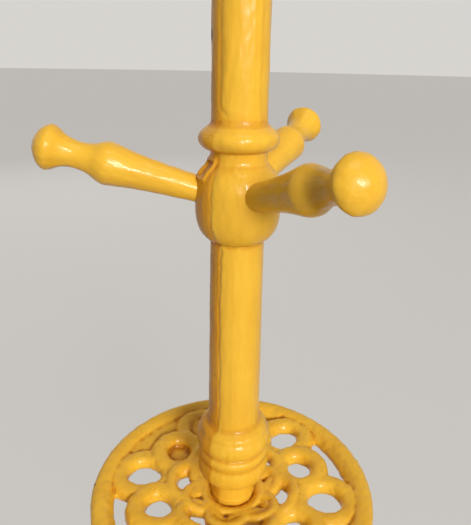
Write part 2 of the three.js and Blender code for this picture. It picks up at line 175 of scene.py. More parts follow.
def arc(root, crown, middle, half, start, end, count):
    """Part of an ellipse: radius = root + (crown - root) cos a, height = middle + half sin a,
    with a in degrees."""
    a = np.radians(np.linspace(start, end, count))
    return np.column_stack([root + (crown - root) * np.cos(a), middle + half * np.sin(a)])


def offset(radius, height, *millimetres):
    """Profile points given in millimetres from a radius and a height."""
    return np.array(millimetres) * MM + (radius, height)


def circle(count):
    """Angles all round, from 0."""
    return np.linspace(0, 2 * np.pi, count, endpoint=False)


def through(table, count):
    """Smooth curve through (radius, height) points: a cubic in the arc length whose slope at each
    point is the mean of its two chords'."""
    gaps = np.linalg.norm(np.diff(table, axis=0), axis=1)
    knots = np.concatenate([[0], np.cumsum(gaps)])
    chords = np.diff(table, axis=0) / gaps[:, None]
    slopes = np.vstack([chords[:1], (chords[1:] + chords[:-1]) / 2, chords[-1:]])
    along = np.linspace(0, knots[-1], count)
    i = np.clip(np.searchsorted(knots, along, "right") - 1, 0, len(gaps) - 1)
    gap, t = gaps[i][:, None], ((along - knots[i]) / gaps[i])[:, None]
    places = table[i] * (2 * t ** 3 - 3 * t ** 2 + 1) + table[i + 1] * (3 * t ** 2 - 2 * t ** 3)
    bends = slopes[i] * (t ** 3 - 2 * t ** 2 + t) + slopes[i + 1] * (t ** 3 - t ** 2)
    return places + gap * bends


def evened(profile, spacing, softness=0.0, least=8):
    """The profile in equal steps of its length, each a bell-weighted mean of its neighbours over
    the softness, as paint rounds corners."""
    gaps = np.linalg.norm(np.diff(profile, axis=0), axis=1)
    profile = profile[np.concatenate([[True], gaps > 1e-9])]
    along = np.concatenate([[0], np.cumsum(np.linalg.norm(np.diff(profile, axis=0), axis=1))])
    count = max(int(round(along[-1] / spacing)), least)
    even = np.linspace(0, along[-1], count + 1)
    out = np.column_stack([np.interp(even, along, profile[:, k]) for k in (0, 1)])
    if softness > 0:
        reach = int(math.ceil(3 * softness / spacing))
        weights = bump(np.arange(-reach, reach + 1) * spacing, softness)
        weights /= weights.sum()
        before, after = 2 * out[0] - out[reach:0:-1], 2 * out[-1] - out[-2:-reach - 2:-1]
        padded = np.vstack([before, out, after])
        out = np.column_stack([np.convolve(padded[:, k], weights, "valid") for k in (0, 1)])
    return np.column_stack([np.maximum(out[:, 0], 0), out[:, 1]])


def grid_faces(rows, columns):
    """Quads of a grid whose rows are closed rings."""
    i, j = np.meshgrid(np.arange(rows - 1), np.arange(columns), indexing="ij")
    a = i * columns + j
    b = i * columns + (j + 1) % columns
    return np.stack([a, b, b + columns, a + columns], -1).reshape(-1, 4)


class Skin:
    """A turned surface before its relief: angle, radius and height of every vertex."""

    def __init__(self, angle, radius, height):
        self.angle, self.radius, self.height = angle, radius, height
        self.points = np.stack([radius * np.cos(angle), radius * np.sin(angle), height], -1)

    def across(self, azimuth):
        """Arc length from the line at this azimuth, in degrees from the front towards +X."""
        turn = self.angle - math.radians(azimuth - 90)
        return ((turn + np.pi) % (2 * np.pi) - np.pi) * self.radius

    def between(self, low, high, fade=4 * MM):
        """1 between two heights, fading to 0 at both."""
        return step(self.height, low, low + fade) * (1 - step(self.height, high - fade, high))

    def swell(self, wavelength, seed, stretch=1.0):
        """Ripple, drawn out along the height by the stretch."""
        return ripple(self.points * (1, 1, 1 / stretch), wavelength, seed)


def turned(profile, sides, relief):
    """Profile (radius, height) turned about Z: x = r cos t, y = r sin t; relief(skin) adds to r.
    An end that is off the axis is closed by a flat cap."""
    ends = profile[[0, -1]] * (0, 1)
    rings = profile[profile[:, 0] > ON_AXIS]
    radius, angle = np.meshgrid(rings[:, 0], circle(sides), indexing="ij")
    height = np.repeat(rings[:, 1:], sides, axis=1)
    radius = np.maximum(radius + relief(Skin(angle, radius, height)), ON_AXIS)
    ring = Skin(angle, radius, height).points.reshape(-1, 3)
    points = np.vstack([ring, np.column_stack([ends[:, 0] * 0, ends])])
    j = np.arange(sides)
    k = (j + 1) % sides
    last = (len(rings) - 1) * sides
    caps = np.vstack([np.column_stack([k, j, j * 0 + len(ring)]),
                      np.column_stack([last + j, last + k, j * 0 + len(ring) + 1])])
    return points, [grid_faces(len(rings), sides), caps]


def hoop(curve, sides):
    """A closed section (radius, height) turned about Z: x = r cos t, y = r sin t."""
    t = circle(sides)[:, None]
    points = Skin(t, curve[:, 0], curve[:, 1] + 0 * t).points.reshape(-1, 3)
    return points, [grid_faces(sides + 1, len(curve)) % len(points)]


def new_piece(name, parts):
    """One object from (points, face arrays) parts; its place is in its mesh."""
    starts = np.cumsum([0] + [len(points) for points, _ in parts])
    faces = [face for (_, arrays), start in zip(parts, starts) for array in arrays
             for face in (array + start).tolist()]
    mesh = bpy.data.meshes.new(name)
    mesh.from_pydata(np.vstack([points for points, _ in parts]), [], faces)
    return placed(name, mesh)


def placed(name, mesh):
    """An object for the mesh, smooth but for edges sharper than a paint film would leave."""
    mesh.polygons.foreach_set("use_smooth", np.ones(len(mesh.polygons), bool))
    mesh.set_sharp_from_angle(angle=math.radians(SHARP_EDGE))
    mesh.update()
    return linked(name, mesh)


def linked(name, data):
    """An object for a mesh, lamp or camera."""
    holder = bpy.data.objects.new(name, data)
    bpy.context.scene.collection.objects.link(holder)
    return holder


def dress(piece, node, material):
    """Gives the piece its material and lets it stand for a CAD node."""
    piece.data.materials.append(material)
    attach(piece, BODY)
    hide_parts(node)


def read(items, key, width=3, kind=np.float32):
    """One row of values per item."""
    flat = np.empty(len(items) * width, kind)
    items.foreach_get(key, flat)
    return flat.reshape(-1, width)


def coordinates(mesh):
    """The mesh's vertices."""
    return read(mesh.vertices, "co").astype(float)


def directions(mesh):
    """The vertices' normals."""
    return read(mesh.vertex_normals, "vector")


def store(piece, name, values, kind="FLOAT"):
    """Keeps one value or vector per vertex for the materials."""
    attribute = piece.data.attributes.new(name, kind, "POINT")
    key = "value" if kind == "FLOAT" else "vector"
    attribute.data.foreach_set(key, np.ascontiguousarray(values, np.float32).ravel())


def hollows(mesh, rounds):
    """How far each vertex lies under the mean of its neighbours along its normal, with the mean
    and then the depth averaged for a few rounds."""
    count = len(mesh.vertices)
    points = coordinates(mesh)
    a, b = read(mesh.edges, "vertices", 2, np.int32).T
    degree = np.maximum(np.bincount(a, minlength=count) + np.bincount(b, minlength=count), 1)

    def mean(values):
        return np.column_stack([
            (np.bincount(a, column[b], count) + np.bincount(b, column[a], count)) / degree
            for column in values.T])

    spread = points
    for _ in range(rounds):
        spread = mean(spread)
    depth = np.einsum("ij,ij->i", spread - points, directions(mesh))[:, None]
    for _ in range(rounds):
        depth = mean(depth)
    return depth[:, 0]


def weather(piece, points, rounds, full_depth, chips=(), flank_wear_and_shade=0.0):
    """Stores what the enamel reads: its grain, how deep each spot lies in a crease and in a wider
    valley, both darkened in the enamel as painted shade, the rough old paint of the left flank,
    which the enamel also darkens as painted shade, and chips, each a bell round its place."""
    store(piece, "grain", points, "FLOAT_VECTOR")
    # crease depth: gathers dirt, and the enamel also darkens it as painted shade
    store(piece, "crease", hollows(piece.data, rounds) / full_depth)
    # wider hollows, which the enamel darkens as painted shade
    store(piece, "valley", hollows(piece.data, 5 * rounds) / (8 * full_depth))
    # rough old paint of the left flank, which the enamel also darkens as painted shade
    store(piece, "flank_wear_and_shade", flank_wear_and_shade + np.zeros(len(points)))
    bare = np.zeros(len(points))
    for place, reach in chips:
        bare = np.maximum(bare, bump(np.linalg.norm((points - place) / reach, axis=1), 1.0))
    store(piece, "chip", bare)


# ---- Shader nodes ----

def maths(operation, reflected=False):
    """An operator that adds a Math node; reflected where the plain number stands on the left."""
    def method(self, other):
        terms = (other, self) if reflected else (self, other)
        return self.paint.node("Math", {"operation": operation}, dict(enumerate(terms)))
    return method


class Value:
    """A node socket that adds Math nodes when it is used in an expression."""
    __add__, __radd__ = maths("ADD"), maths("ADD", reflected=True)
    __sub__, __rsub__ = maths("SUBTRACT"), maths("SUBTRACT", reflected=True)
    __mul__, __rmul__ = maths("MULTIPLY"), maths("MULTIPLY", reflected=True)

    def __init__(self, paint, socket):
        self.paint = paint
        self.socket = socket

    def above(self, low, high):
        """0 below low, 1 above high, smooth between."""
        return self.paint.node("MapRange", {"interpolation_type": "SMOOTHSTEP"},
                               {"Value": self, "From Min": low, "From Max": high}, "Result")


class Paint:
    """Builds the nodes of one material or world."""

    def __init__(self, owner):
        owner.use_nodes = True
        self.owner = owner
        self.tree = owner.node_tree
        self.shader = self.tree.nodes.get("Principled BSDF")

    def node(self, kind, settings=None, sockets=None, output=0):
        """Any node, by its type after "ShaderNode": settings first, then values or links for its
        sockets; gives one output."""
        made = self.tree.nodes.new("ShaderNode" + kind)
        for key, value in (settings or {}).items():
            setattr(made, key, value)
        for key, value in (sockets or {}).items():
            self.put(made.inputs[key], value)
        return Value(self, made.outputs[output])

    def put(self, socket, value):
        """Links a Value to the socket, or sets a plain value."""
        if isinstance(value, Value):
            self.tree.links.new(value.socket, socket)
        else:
            socket.default_value = value

    def base(self, sockets):
        """Sets the Principled shader's sockets and gives the material."""
        for key, value in sockets.items():
            self.put(self.shader.inputs[key], value)
        return self.owner

    def surface(self, shader):
        """Links a shader to the output, whichever kind of tree this is."""
        for node in self.tree.nodes:
            if node.type in ("OUTPUT_MATERIAL", "OUTPUT_WORLD"):
                self.put(node.inputs["Surface"], shader)

    def place(self):
        return self.node("TexCoord", output="Object")

    def stored(self, name, output="Fac"):
        return self.node("Attribute", {"attribute_name": name}, output=output)

    def stretched(self, vector, scale):
        return self.node("Mapping", None, {"Vector": vector, "Scale": scale})

    def noise(self, vector, scale, detail=3.0, roughness=0.5):
        return self.node("TexNoise", None, {
            "Vector": vector, "Scale": scale, "Detail": detail, "Roughness": roughness}, "Fac")

    def cells(self, vector, scale):
        return self.node("TexVoronoi", None, {"Vector": vector, "Scale": scale},
                         "Distance")

    def blend(self, share, first, second):
        """Mix of two colours; sockets 0, 6 and 7 are a colour Mix node's factor and colours."""
        return self.node("Mix", {"data_type": "RGBA"},
                         {0: share, 6: first, 7: second}, 2)

    def directly_seen(self):
        """1 for what the camera sees itself or in gloss or glass."""
        camera, gloss, glass = (self.node("LightPath", output=f"Is {kind} Ray")
                                for kind in ("Camera", "Glossy", "Transmission"))
        return self.node("Math", {"operation": "ADD", "use_clamp": True},
                         {0: camera + gloss, 1: glass})

    def relief(self, height, distance, under=None):
        """Bump; under is the coarser relief that it lies on."""
        sockets = {"Height": height, "Distance": distance}
        if under is not None:
            sockets["Normal"] = under
        return self.node("Bump", None, sockets, "Normal")


def rgba(rgb, share=1.0):
    """The colour, darker or lighter by the share, with full alpha."""
    return (*(c * share for c in rgb), 1.0)


def enamel(name, finish, streaks, marks, pits):
    """Thick gloss enamel over what weather() stores. Streaks are of the brush and marks of the
    lathe or the mould, both per metre along each axis; pits is how much of a casting's pores and
    dirt shows. Its deep tone is partly painted shade, in creases, in wider valleys and on the left
    flank."""
    paint = Paint(bpy.data.materials.new(name))
    grain = paint.stored("grain", "Vector")
    crease, flank_wear_and_shade = paint.stored("crease"), paint.stored("flank_wear_and_shade")
    valley = paint.stored("valley").above(0.0, 0.6)
    bare = paint.stored("chip").above(0.4, 0.7)
    brush = paint.noise(paint.stretched(grain, streaks), 1, 4, 0.6)
    peel = paint.noise(paint.stretched(grain, marks), 1, 2)
    clouds, mottle = paint.noise(grain, 28), paint.noise(grain, 170)
    patches = paint.noise(grain, 45, 2).above(0.53, 0.62)
    pores = (1 - paint.cells(grain, 440).above(0.16, 0.4)) * patches
    pores = pores * ((crease.above(-0.1, 0.6) * 0.5 + 0.5) * pits + flank_wear_and_shade * 0.8)
    dirt = crease.above(0.4, 1.2) * paint.noise(grain, 260).above(0.36, 0.58) * pits
    # Deep tone: random clouds and brush streaks, plus painted shade in creases, in wider valleys
    # and on the darker left flank
    deep = (clouds.above(0.3, 0.8) * (0.2 + 0.1 * pits) + brush.above(0.4, 0.75) * 0.12
            + flank_wear_and_shade * 0.68 + crease.above(0.1, 0.9) * (0.25 + 0.35 * pits)
            + valley * (0.1 + 0.6 * pits))
    tone = paint.blend(deep, rgba(finish.enamel), rgba(finish.enamel_deep_and_shade))
    tone = paint.blend(dirt * 0.5 + pores * 0.5, tone, rgba(finish.grime))
    tone = paint.blend(bare, tone, rgba(finish.grime, 0.4))
    soft = paint.relief(brush * 0.7 + clouds * 0.5 + mottle * 0.12, 0.6 * MM)
    fine = paint.relief(peel * (0.25 + flank_wear_and_shade) - pores - bare, 0.22 * MM, under=soft)
    rough = 0.26 + brush * 0.08 + flank_wear_and_shade * 0.05 + dirt * 0.3 + bare * 0.4
    return paint.base({"Base Color": tone, "Roughness": rough, "Normal": fine, "Coat Weight": 0.15,
                       "Coat Roughness": 0.06, "Specular IOR Level": 0.2})


def bare_metal(name, rgb, pitch=1.5 * MM, band=0.314):
    """Turned or threaded metal: rings of one pitch along Z, with fine scratches. The band is how
    far apart in metres a wave texture of scale 1 sets them."""
    paint = Paint(bpy.data.materials.new(name))
    place = paint.place()
    rings = paint.node("TexWave", {"bands_direction": "Z", "wave_profile": "TRI"},
                       {"Vector": place, "Scale": band / pitch, "Distortion": 0.0}, "Fac")
    scratches = paint.noise(paint.stretched(place, (900, 900, 60)), 1)
    return paint.base({"Base Color": paint.blend(scratches, rgba(rgb, 0.8), rgba(rgb)),
                       "Metallic": 1.0, "Roughness": 0.3 + scratches * 0.2,
                       "Normal": paint.relief(rings + scratches * 0.1, 0.4 * MM)})


def rubber(name, finish):
    """Matt rubber with dust that lies in patches."""
    paint = Paint(bpy.data.materials.new(name))
    place = paint.place()
    dust = paint.noise(place, 60).above(0.5, 0.75)
    tone = paint.blend(dust * 0.4, rgba(finish.rubber), rgba(finish.dust))
    return paint.base({"Base Color": tone, "Roughness": 0.7 + dust * 0.15,
                       "Normal": paint.relief(paint.noise(place, 900), 0.2 * MM)})


# ---- Profiles ----

# A section's foot: height above the neck's top, how much slimmer than the widest lobe, in mm.
FOOT_LOBES = np.array([
    (0.3, 9.6), (1, 6.2), (3.6, 2.7), (8.5, 1.1), (12.5, 0.9), (16, 1.5), (19, 2.6), (21.5, 3.1),
    (24, 2.2), (27.5, 1.3), (30.6, 2.2), (32.4, 4.6), (34.2, 2.8), (37.5, 0.9), (41.5, 0),
    (45.5, 0.4), (48.6, 1.5), (50.8, 2.8), (52.6, 3), (55, 4.2), (57, 6.6)]) * MM
# Peg: distance from the root, radius, in mm.
PEG_OUTLINE = np.array([
    (0, 9.75), (15, 10.6), (30, 11.5), (45, 12.8), (58, 14.6), (64, 15.45), (67.5, 15.7),
    (72, 14.5), (78, 11.6), (84, 10.2), (90, 9.9), (96, 10.8), (101, 12.7), (105, 15.2),
    (108, 16.4)]) * MM
PEG_SOCKET = 14 * MM        # how deep a peg stands in its hub
PAINTED_GAP = 0.3 * MM      # air between two sections, closed by paint
SEAT_GAP = 0.5 * MM         # between a neck and its seat


def foot_lobes(sizes, low, post_radius):
    """Neck's top to the post: two beads, each of two soft lobes, and a shoulder."""
    lobes = np.column_stack([sizes.bead_radius - FOOT_LOBES[:, 1], low + FOOT_LOBES[:, 0]])
    return through(np.vstack([lobes, offset(post_radius, low, (1.2, 59), (0, 62))]), 160)


def hub_curve(sizes, middle, top, post_radius, power=3, shoulder=3.2 * MM):
    """Hub's ball from the post below, r = R (1 - |z / h|^n)^(1/n), then a slight cone up to the
    groove and on to the section's end."""
    def edge(radius):
        return sizes.hub_half * (1 - (radius / sizes.hub_radius) ** power) ** (1 / power)
    low, high = -edge(post_radius), edge(sizes.groove_radius + shoulder)
    z = (low + high) / 2 - np.cos(np.linspace(0, np.pi, 60)) * (high - low) / 2
    share = (1 - np.abs(z / sizes.hub_half) ** power) ** (1 / power)
    cone = offset(sizes.groove_radius, middle, (1.6, 28.6), (0.5, 30.6), (0.1, 32.4))
    return np.vstack([np.column_stack([sizes.hub_radius * share, middle + z]), cone,
                      (cone[-1, 0], top + PAINTED_GAP)])


def collar_curve(sizes, low, post_radius, rounding=7.2 * MM):
    """Groove, collar bead with a sloping shoulder, cove and post."""
    foot, half = low + sizes.groove_length / 2, sizes.collar_height / 2
    return np.vstack([
        (sizes.groove_radius, low), offset(sizes.groove_radius, foot, (0.3, -1.5), (1.3, -0.2)),
        arc(sizes.collar_radius - rounding, sizes.collar_radius, foot + half, half, -90, 45, 30),
        offset(post_radius, foot + sizes.collar_height, (1.6, 2), (0.4, 3.4), (0, 6))])


# ---- Relief of turned pieces ----

SEAM_AZIMUTH = -37          # degrees from the front towards +X, as all azimuths


def brushed(skin, seed):
    """Thick paint and shorter brush marks: two ripples drawn out along the height."""
    return (0.11 * MM * skin.swell(9 * MM, seed, 4)
            + 0.06 * MM * skin.swell(4.5 * MM, seed + 1, 2))


def seam(skin, sizes, low, high, seed, roughness):
    """Filled joint of the post's halves: a bell-shaped line that wanders by two ripples, a step
    up on its right that thins out, and ripples on a rough flank on its left."""
    along = skin.points * (0, 0, 1)
    away = (skin.across(SEAM_AZIMUTH) + 0.5 * MM * ripple(along, 30 * MM, seed)
            + 0.3 * MM * ripple(along, 9 * MM, seed + 3))
    coat = shelf(away, (-0.3, 1.8), (4, 15))
    lumps = skin.swell(3.3 * MM, seed + 1) + skin.swell(9 * MM, seed + 2, 3)
    flank = roughness * shelf(-away, (0.5, 2.5), (12, 22)) * lumps
    groove = sizes.seam_depth * bump(away, sizes.seam_width)
    return (0.3 * MM * coat + flank - groove) * skin.between(low, high)


def rough_shaded_flank(points, blur=1.5, back=(95, 125)):
    """1 on the rough side left of the seam, fading out round the back; all in degrees. The enamel
    darkens this side as painted shade as well as roughening it.
    """
    left = -np.degrees(np.arctan2(points[:, 0], -points[:, 1]))
    return step(left, -SEAM_AZIMUTH - blur, -SEAM_AZIMUTH + blur) * (1 - step(left, *back))


def runs(skin, start, *rows):
    """Paint runs: each a low bell-shaped ridge that ends in a rounder drop. A row is an azimuth,
    then in millimetres top and bottom over the start, width and lift."""
    total = 0
    for azimuth, *row in rows:
        top, bottom, width, lift = np.array(row) * MM
        away = skin.across(azimuth)
        drop = bump(away, width * 1.5) * bump(skin.height - start - bottom - 2 * MM, width * 1.6)
        body = bump(away, width) * skin.between(start + bottom, start + top, 8 * MM)
        total = total + lift * (0.6 * body + drop)
    return total


def ridge(skin, azimuth, low, high, width, lift):
    """Brush ridge along the height: a bell across it that fades at both ends."""
    return lift * bump(skin.across(azimuth), width) * skin.between(low, high, 15 * MM)


def lap(skin, low, high):
    """Edge of a thicker coat: a step up on its right that thins out, with a bell-shaped groove
    along it; its lower end turns right."""
    away = skin.across(SEAM_AZIMUTH) - 6 * MM * (1 - step(skin.height, low + MM, low + 8 * MM))
    coat = shelf(away, (-2, 2), (5, 16))
    groove = bump(away + 1.5 * MM, 1.8 * MM)
    return (0.45 * MM * coat - 0.3 * MM * groove) * skin.between(low, high, 6 * MM)


def blind_socket(skin, azimuth, height, half=6 * MM, frame=1.9 * MM, depth=3 * MM):
    """Shallow square socket inside a raised frame, by the distance to a square's edge."""
    dx = np.abs(skin.across(azimuth)) - half
    dz = np.abs(skin.height - height) - half
    outside = (np.hypot(np.maximum(dx, 0), np.maximum(dz, 0))
               + np.minimum(np.maximum(dx, dz), 0))
    return (frame * (1 - step(outside, 0.6 * MM, 2.8 * MM))
            - depth * step(-outside, -0.6 * MM, 2.4 * MM))


def dent(skin, azimuth, height, reach, depth):
    """Round dent: the product of two bells."""
    return -depth * bump(skin.across(azimuth), reach) * bump(skin.height - height, reach)


def turned_piece(node, profile, sides, spacing, relief, material, softness=0.5 * MM,
                 matrix=None, chips=(), flank_wear_and_shade=0.0):
    """A turned, enamelled piece that stands for the CAD node of its name."""
    points, faces = turned(evened(profile, spacing, softness), sides, relief)
    piece = new_piece(f"{node}_enamelled", [(points, faces)])
    # the flank's share is rough old paint and the painted shade of the post's left side
    weather(piece, points, 4, 0.16 * MM, chips, flank_wear_and_shade * rough_shaded_flank(points))
    if matrix is not None:
        piece.data.transform(matrix)
    dress(piece, node, material)


def span(node):
    """Lowest and highest height of a CAD node."""
    low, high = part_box(node)
    return low.z, high.z


def rim_plane():
    """Height at which the disc is widest."""
    return span("rosette_disc")[0] + bpy.context.scene.rack_sizes.disc_depth


# ---- Pieces ----

class RackOperator:
    """What the rack's operators share."""
    bl_options = {"REGISTER", "UNDO"}

    sizes = property(lambda self: bpy.context.scene.rack_sizes)
    finish = property(lambda self: bpy.context.scene.rack_finish)

    def iron_enamel(self, name):
        """Enamel of a casting, with all its pits."""
        return enamel(name, self.finish, (60,) * 3, (420,) * 3, pits=1.0)


class RACK_OT_posts(RackOperator, Operator):
    """Turned sections of the post, with their beads, hubs and collars"""
    bl_idname = "rack.posts"
    bl_label = "Turned Posts"

    def execute(self, context):
        wood = enamel("post_enamel", self.finish, streaks=(190, 190, 9),
                      marks=(140, 140, 420), pits=0.2)
        self.low(wood, 22.1 * MM, 20.5 * MM)
        self.lower(wood, 23.5 * MM)
        self.upper(wood, "middle_section", 20.0 * MM, 18.9 * MM, seed=31)
        self.upper(wood, "top_section", 18.6 * MM, 17.2 * MM, seed=37)
        self.finial(wood, 12.5 * MM, 23 * MM)
        return {"FINISHED"}

    def hub_middle(self, top):
        """Height of a hub's middle, from the top of its section."""
        return top - self.sizes.groove_length / 2 - self.sizes.hub_top

    def low(self, wood, foot_radius, head_radius):
        """Neck, lobes, post and the lowest hub, with the seam up its left front."""
        sizes = self.sizes
        foot, top = span("low_section")
        middle, rim = self.hub_middle(top), rim_plane()
        neck = rim + sizes.neck_length
        lip = offset(sizes.neck_radius, rim, (0, -4.2), (0.9, -3.6), (0.8, -2.8), (0, -1.4))
        profile = np.vstack([
            (sizes.neck_radius, foot), lip, (sizes.neck_radius, neck),
            foot_lobes(sizes, neck, foot_radius), hub_curve(sizes, middle, top, head_radius)])

        def relief(skin):
            under_hub = bump(skin.height - middle + 29 * MM, 3 * MM)
            return (brushed(skin, seed=11)
                    + seam(skin, sizes, neck + 54 * MM, middle - 30 * MM, 13, 0.11 * MM)
                    + seam(skin, sizes, middle - 31 * MM, top - 8 * MM, 17, 0.07 * MM)
                    + 0.3 * MM * under_hub * skin.swell(6 * MM, seed=15)
                    + runs(skin, middle, (-52, 8, -27, 2.6, 0.4), (-24, -20, -33, 2.2, 0.4))
                    + runs(skin, neck, (-6, 50, 30, 1.8, 0.5), (18, 14, -1, 2.2, 0.4))
                    + ridge(skin, -4, neck + 64 * MM, middle - 40 * MM, 1.6 * MM, 0.18 * MM)
                    + blind_socket(skin, -68, middle + 26 * MM)
                    + dent(skin, 8, neck + 33 * MM, 4 * MM, 0.5 * MM))

        turned_piece("low_section", profile, 224, 1.05 * MM, relief, wood, flank_wear_and_shade=0.9)

    def lower(self, wood, foot_radius, bead_height=16 * MM):
        """Plain turned post from the base to the disc, with a slimmer bead at its head."""
        sizes = self.sizes
        foot, head = span("lower_post")
        neck = span("base_casting")[1] + sizes.neck_length
        bead = head - bead_height
        cove = offset(0, bead, (22, -8), (22.6, -3), (24.5, 0))
        profile = np.vstack([
            (sizes.neck_radius, foot), (sizes.neck_radius, neck),
            foot_lobes(sizes, neck, foot_radius), cove,
            arc(cove[-1, 0], sizes.bead_radius - 3 * MM, bead + bead_height / 2, bead_height / 2,
                -90, 90, 30)])

        def relief(skin):
            return (brushed(skin, seed=23)
                    + seam(skin, sizes, neck + 54 * MM, bead - 6 * MM, 25, 0.3 * MM))

        turned_piece("lower_post", profile, 160, 1.4 * MM, relief, wood, flank_wear_and_shade=0.7)

    def upper(self, wood, name, foot_radius, head_radius, seed):
        """Collar bead, tapering post and a hub. The taper is r = r0 + (r1 - r0) (1 - (1 - s)^1.25)
        with s the share of its height."""
        sizes = self.sizes
        foot, top = span(name)
        middle = self.hub_middle(top)
        start = collar_curve(sizes, foot, foot_radius)
        base, end = start[-1, 1], middle - sizes.hub_half
        height = np.linspace(base, end, 24)[1:-1]
        narrowed = 1 - (1 - (height - base) / (end - base)) ** 1.25
        taper = np.column_stack([foot_radius + (head_radius - foot_radius) * narrowed, height])
        profile = np.vstack([start, taper, hub_curve(sizes, middle, top, head_radius)])
        collar = foot + (sizes.groove_length + sizes.collar_height) / 2

        def relief(skin):
            on_collar = bump(skin.height - collar, 6 * MM)
            return (brushed(skin, seed)
                    + 0.25 * MM * on_collar * skin.swell(11 * MM, seed + 5)
                    + lap(skin, base + MM, middle - 60 * MM)
                    + dent(skin, -70, collar - 3 * MM, 3.5 * MM, 0.6 * MM)
                    + ridge(skin, 26, base - MM, base + 90 * MM, 0.9 * MM, 0.28 * MM)
                    + ridge(skin, 40, base + 5 * MM, base + 190 * MM, 1.2 * MM, 0.22 * MM)
                    + ridge(skin, -12, base + 60 * MM, base + 260 * MM, 2 * MM, 0.15 * MM))

        chip = (np.array([-0.98 * foot_radius, -0.22 * foot_radius, base + 53 * MM]),
                np.array([2, 2.2, 6]) * MM)
        turned_piece(name, profile, 176, 1.25 * MM, relief, wood, chips=[chip], flank_wear_and_shade=0.55)

    def finial(self, wood, neck_radius, ball):
        """Collar bead, neck and a ball: an arc of an ellipse from 57 degrees under its middle."""
        foot, top = span("finial")
        start = collar_curve(self.sizes, foot, neck_radius)
        neck = start[-1, 1]
        profile = np.vstack([start, arc(0, ball, neck + ball, top - neck - ball, -57, 90, 60)])
        turned_piece("finial", profile, 128, 1.1 * MM, lambda skin: brushed(skin, seed=41), wood)


class RACK_OT_pegs(RackOperator, Operator):
    """Turned pegs, each along its own axis"""
    bl_idname = "rack.pegs"
    bl_label = "Pegs"

    def execute(self, context):
        wood = enamel("peg_enamel", self.finish, streaks=(260, 260, 16),
                      marks=(420,) * 3, pits=0.15)
        profile = self.profile()
        for order, tier in enumerate(("low", "middle", "top")):
            for i in (1, 2, 3):
                self.peg(f"{tier}_peg_{i}", profile, order * 10 + i, wood)
        return {"FINISHED"}

    def profile(self):
        """From the hub outwards: socket end, swelling shaft, waist and knob; heights run along
        the peg. The knob's cap is r = R (1 - t^1.9)^0.65 along its length."""
        sizes = self.sizes
        shaft = through(PEG_OUTLINE[:, ::-1], 120)
        t = np.sin(np.linspace(0, np.pi / 2, 40)[1:])
        start = shaft[-1, 1]
        cap = np.column_stack([sizes.peg_knob * (1 - t ** 1.9) ** 0.65,
                               start + t * (sizes.peg_length - start)])
        return np.vstack([(shaft[0, 0], -PEG_SOCKET), shaft, cap])

    def peg(self, node, profile, seed, wood):
        """Turns the profile about Z and lays it along the CAD peg."""
        root, way = self.axis(coordinates(frame["nodes"][node].data))
        turn = Matrix.Translation(root) @ way.to_track_quat("Z", "Y").to_matrix().to_4x4()
        turned_piece(node, profile, 96, 1.1 * MM, lambda skin: 1.2 * brushed(skin, seed), wood,
                     softness=0.8 * MM, matrix=turn)

    def axis(self, co):
        """Peg's root and direction: its long axis runs outwards and ends at the tip."""
        centre = co.mean(0)
        way = np.linalg.svd(co - centre)[2][0]
        way *= np.sign(way[:2] @ centre[:2])
        tip = centre + way * ((co - centre) @ way).max()
        return Vector(tip - way * self.sizes.peg_length), Vector(way)


# Rows of ring petals from the rim inwards, in millimetres: ring centre from the axis, half sizes
# outwards, inwards and across, half width of the ring, crest over the rim plane at that centre;
# then tilt in degrees, how deep the inner end sinks under the boss, and turn in pitches.
PETAL_ROWS = ((87, 25, 25, 22.2, 9.2, -0.5, 2, 0, 0), (71.2, 20.2, 20.2, 21, 9.2, 0.2, 4, 0, 0.5),
              (45.2, 13.3, 13.3, 20.6, 6, -1.4, 12, 0, 0),
              (29, 16.5, 5, 15.5, 4.9, -4.5, 13.6, 6, 0.5))
ROSETTE_FOLD = 6
ROSETTE_TURN = -9           # degrees from +X to the first outer petal
WEB_DEGREES = (98, 158)     # stretch of the rosette that was cast blind


